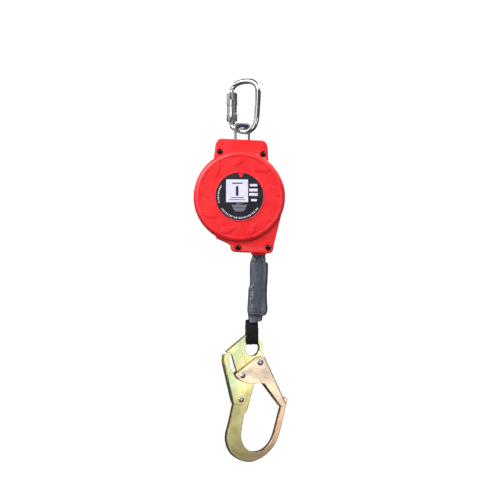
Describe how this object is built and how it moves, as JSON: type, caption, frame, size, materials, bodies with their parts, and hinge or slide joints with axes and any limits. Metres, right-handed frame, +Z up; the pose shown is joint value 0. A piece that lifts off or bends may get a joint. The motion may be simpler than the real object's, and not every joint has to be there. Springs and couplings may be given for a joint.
{
  "type": "self retracting lifeline",
  "caption": "Self retracting web lifeline: round spring-drum housing on a swivel bail and twist-lock carabiner, with energy absorber pack and large-throat locking hook.",
  "frame": {"origin": "bearing point inside the carabiner's top bend, where the anchor holds it", "axes": "+X to the right of the label side, -Y towards the label side, +Z up along the hanging line"},
  "size_m": [0.1706, 0.0601, 0.6897],
  "materials": {
    "zinc_steel": "polished zinc plate",
    "yellow_zinc": "yellow chromate on zinc, faintly iridescent",
    "gate_zinc": "pink-gold chromate on zinc",
    "red_plastic": "semi-gloss moulded, fine texture",
    "navy_plastic": "satin moulded",
    "cream_liner": "matt",
    "label": "satin printed film",
    "black_steel": "black oxide",
    "brass": "machined",
    "aluminium": "machined",
    "spring_steel": "blued strip",
    "black_web": "tight woven polyester web",
    "slate_wrap": "heat-shrunk film over stitched web"
  },
  "bodies": {
    "carabiner": {"carabiner_body": "zinc_steel", "carabiner_gate_pin": "zinc_steel"},
    "carabiner_gate": {"carabiner_gate": "zinc_steel"},
    "carabiner_sleeve": {"carabiner_sleeve": "zinc_steel"},
    "bail": {"bail": "zinc_steel", "saddle_insert": "navy_plastic", "wear_liner": "cream_liner", "swivel_base": "zinc_steel", "thrust_washer": "brass", "swivel_nut": "zinc_steel"},
    "housing": {"front_cover": "red_plastic", "rear_cover": "red_plastic", "label_plate": "label", "housing_screw_upper_left": "black_steel", "housing_screw_upper_right": "black_steel", "housing_screw_lower_left": "black_steel", "housing_screw_lower_right": "black_steel", "threaded_insert_upper_left": "brass", "threaded_insert_upper_right": "brass", "threaded_insert_lower_left": "brass", "threaded_insert_lower_right": "brass", "line_guide": "red_plastic", "frame_yoke": "zinc_steel", "bush_front": "brass", "bush_rear": "brass", "ratchet_ring": "black_steel", "spring_case": "aluminium", "power_spring": "spring_steel"},
    "drum": {"drum_axle": "zinc_steel", "drum_hub": "aluminium", "drum_flange_front": "aluminium", "drum_flange_rear": "aluminium", "axle_circlip_front": "spring_steel", "axle_circlip_rear": "spring_steel", "web_coil": "black_web", "pawl_carrier": "zinc_steel", "pawl_pin_1": "zinc_steel", "pawl_pin_2": "zinc_steel", "pawl_spring_1": "spring_steel", "pawl_spring_2": "spring_steel"},
    "pawl_1": {"pawl_1": "black_steel"},
    "pawl_2": {"pawl_2": "black_steel"},
    "lifeline": {"lifeline_web": "black_web", "pack_wrap": "slate_wrap", "tear_web": "black_web", "hook_loop_web": "black_web", "wear_sleeve": "black_web"},
    "hook": {"hook_body": "yellow_zinc", "gate_rivet": "zinc_steel", "lever_rivet": "zinc_steel", "lever_spring": "spring_steel", "gate_spring": "spring_steel"},
    "hook_gate": {"hook_gate": "gate_zinc", "gate_stop_rivet_front": "zinc_steel", "gate_stop_rivet_rear": "zinc_steel"},
    "lock_lever": {"lock_lever": "yellow_zinc"}
  },
  "joints": [
    {"name": "carabiner_gate", "type": "hinge", "parent": "carabiner", "child": "carabiner_gate", "pos_m": [-0.02629, 0.01643, -0.0685], "axis": [0.5299, 0.848, 0], "range_deg": [0, 25], "stiffness_Nm_per_rad": 0.3, "springref_deg": -17.19},
    {"name": "sleeve_twist", "type": "hinge", "parent": "carabiner_gate", "child": "carabiner_sleeve", "pos_m": [-0.02629, 0.01643, -0.04], "axis": [0, 0, 1], "range_deg": [0, 90], "stiffness_Nm_per_rad": 0.02, "springref_deg": -28.65},
    {"name": "bail_swing", "type": "hinge", "parent": "carabiner", "child": "bail", "pos_m": [-0.0081, 0.00506, -0.0848], "axis": [0.8325, -0.5202, -0.1908], "range_deg": [-25, 25]},
    {"name": "housing_swivel", "type": "hinge", "parent": "bail", "child": "housing", "pos_m": [-0.0081, 0.00506, -0.1], "axis": [0, 0, 1], "continuous": true},
    {"name": "line_pull", "type": "slide", "parent": "housing", "child": "lifeline", "axis": [0, 0, -1], "range_m": [0, 1.8], "stiffness_N_per_m": 14, "springref_m": -1.5, "deforming": ["lifeline_web"]},
    {"name": "drum_spin", "type": "hinge", "parent": "housing", "child": "drum", "pos_m": [-0.014, 0.00506, -0.203], "axis": [0, 1, 0], "range_deg": [0, 3550]},
    {"name": "pawl_1_swing", "type": "hinge", "parent": "drum", "child": "pawl_1", "pos_m": [0.008, 0.00506, -0.203], "axis": [0, -1, 0], "range_deg": [0, 13], "stiffness_Nm_per_rad": 0.05, "springref_deg": -17.19},
    {"name": "pawl_2_swing", "type": "hinge", "parent": "drum", "child": "pawl_2", "pos_m": [-0.036, 0.00506, -0.203], "axis": [0, -1, 0], "range_deg": [0, 13], "stiffness_Nm_per_rad": 0.05, "springref_deg": -17.19},
    {"name": "hook_swing", "type": "hinge", "parent": "lifeline", "child": "hook", "pos_m": [0.0084, 0.00506, -0.4589], "axis": [0.9563, 0.2924, 0], "range_deg": [-35, 35]},
    {"name": "hook_gate_swing", "type": "hinge", "parent": "hook", "child": "hook_gate", "pos_m": [0.02121, 0.00898, -0.5007], "axis": [-0.2924, 0.9563, 0], "range_deg": [0, 42], "stiffness_Nm_per_rad": 0.5, "springref_deg": -22.92},
    {"name": "lock_lever_press", "type": "hinge", "parent": "hook", "child": "lock_lever", "pos_m": [-0.01283, -0.00143, -0.5669], "axis": [-0.2924, 0.9563, 0], "range_deg": [0, 8], "stiffness_Nm_per_rad": 0.5, "springref_deg": -11.46}
  ],
  "couplings": [
    {"joint": "drum_spin", "follows": "line_pull", "rad_per_m": 34.325}
  ]
}
